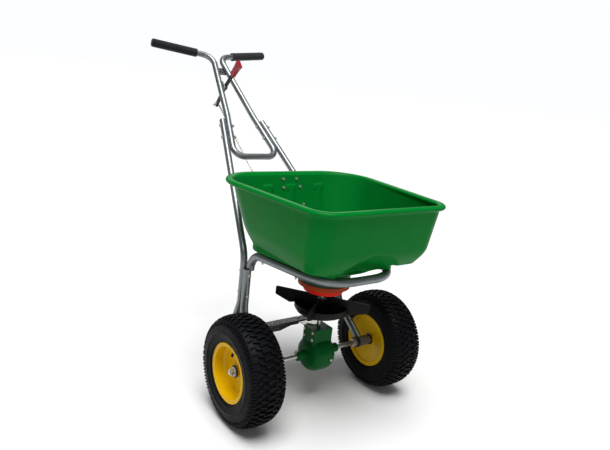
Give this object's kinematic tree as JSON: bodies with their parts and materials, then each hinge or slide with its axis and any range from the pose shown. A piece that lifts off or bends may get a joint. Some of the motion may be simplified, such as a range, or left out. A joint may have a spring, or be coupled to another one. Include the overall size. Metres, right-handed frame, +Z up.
{
  "type": "garden spreader",
  "caption": "Push broadcast spreader: green tub hopper on a bent tube frame with pneumatic wheels, a ground-driven impeller and a lever-operated shut-off.",
  "frame": {"origin": "on the ground at the centre of the footprint", "axes": "+X across the machine to the operator's left hand, +Y back towards the operator, +Z up"},
  "size_m": [0.654, 1.132, 1.0805],
  "materials": {
    "silver_tube": "silver powder coat, satin",
    "grey_steel": "grey satin paint",
    "nylon": "moulded nylon",
    "black_steel": "black satin paint",
    "zinc_steel": "zinc plate",
    "axle_steel": "turned steel",
    "foam_grip": "closed-cell foam",
    "green_plastic": "gloss rotomoulded polyethylene",
    "dark_green_plastic": "dark moulded plastic",
    "gearbox_green": "moulded housing",
    "orange_plastic": "moulded plastic",
    "red_plastic": "moulded plastic",
    "gear_steel": "sintered steel, greased",
    "yellow_steel": "yellow gloss enamel",
    "tyre_rubber": "tyre rubber",
    "valve_rubber": "valve rubber",
    "black_plastic": "moulded plastic",
    "crimson_plastic": "dipped vinyl"
  },
  "bodies": {
    "frame": {"frame_hoop": "silver_tube", "bearing_sleeve_left": "grey_steel", "bearing_sleeve_right": "grey_steel", "sleeve_bushing_left": "nylon", "sleeve_bushing_right": "nylon", "crossbar": "black_steel", "gearbox_hanger": "zinc_steel", "hanger_bolts": "zinc_steel", "lower_handle_left": "silver_tube", "lower_handle_right": "silver_tube", "rear_stand_left": "silver_tube", "rear_stand_right": "silver_tube", "upper_handle": "silver_tube", "grip_left": "foam_grip", "grip_right": "foam_grip", "handle_bolts": "zinc_steel", "handle_nuts": "zinc_steel", "leg_bolts": "zinc_steel", "leg_nuts": "zinc_steel", "handle_tie": "black_steel", "lever_bracket": "zinc_steel", "hopper": "green_plastic", "hopper_throat": "dark_green_plastic", "throat_screws": "zinc_steel", "hopper_screws": "zinc_steel", "gauge_bolts": "zinc_steel", "gauge_plate": "black_steel", "outlet_collar": "orange_plastic", "port_ring": "red_plastic", "gearbox_left": "gearbox_green", "gearbox_right": "gearbox_green", "gearbox_screws": "zinc_steel", "grease_plug": "zinc_steel", "lever_pivot": "zinc_steel"},
    "drive_axle": {"axle": "axle_steel", "crown_gear": "gear_steel", "gear_pin": "zinc_steel", "axle_collars": "zinc_steel", "cotter_pins": "zinc_steel", "drive_pin": "zinc_steel", "wheel_rim_left": "yellow_steel", "tyre_left": "tyre_rubber", "valve_left": "valve_rubber", "hub_bushings_left": "nylon", "wheel_nut_left": "zinc_steel", "wheel_nut_right": "zinc_steel"},
    "free_wheel": {"wheel_rim_right": "yellow_steel", "tyre_right": "tyre_rubber", "valve_right": "valve_rubber", "hub_bushings_right": "nylon"},
    "spinner": {"impeller_shaft": "axle_steel", "pinion": "gear_steel", "impeller": "black_plastic", "impeller_pin": "zinc_steel", "agitator": "zinc_steel"},
    "lever": {"lever_bar": "black_steel", "lever_grip": "crimson_plastic"},
    "rod": {"control_rod": "zinc_steel", "rod_clip": "zinc_steel"},
    "slide": {"shutoff_slide": "zinc_steel"}
  },
  "joints": [
    {"name": "axle_spin", "type": "hinge", "parent": "frame", "child": "drive_axle", "pos_m": [0, -0.31349, 0.165], "axis": [1, 0, 0], "continuous": true},
    {"name": "free_wheel_spin", "type": "hinge", "parent": "drive_axle", "child": "free_wheel", "pos_m": [0.267, -0.31349, 0.165], "axis": [1, 0, 0], "continuous": true},
    {"name": "impeller_spin", "type": "hinge", "parent": "frame", "child": "spinner", "pos_m": [0, -0.31349, 0.3], "axis": [0, 0, 1], "continuous": true},
    {"name": "lever_swing", "type": "hinge", "parent": "frame", "child": "lever", "pos_m": [-0.008, 0.39751, 0.932], "axis": [1, 0, 0], "range_deg": [0, 20]},
    {"name": "rod_swing", "type": "hinge", "parent": "lever", "child": "rod", "pos_m": [0, 0.45151, 0.862], "axis": [1, 0, 0], "range_deg": [-18, 0]},
    {"name": "shutoff_travel", "type": "slide", "parent": "frame", "child": "slide", "axis": [0, 1, 0], "range_m": [0, 0.0377]}
  ],
  "couplings": [
    {"joint": "impeller_spin", "follows": "axle_spin", "ratio": -3},
    {"joint": "rod_swing", "follows": "lever_swing", "ratio": -0.8975},
    {"joint": "shutoff_travel", "follows": "lever_swing", "m_per_rad": 0.1078}
  ]
}
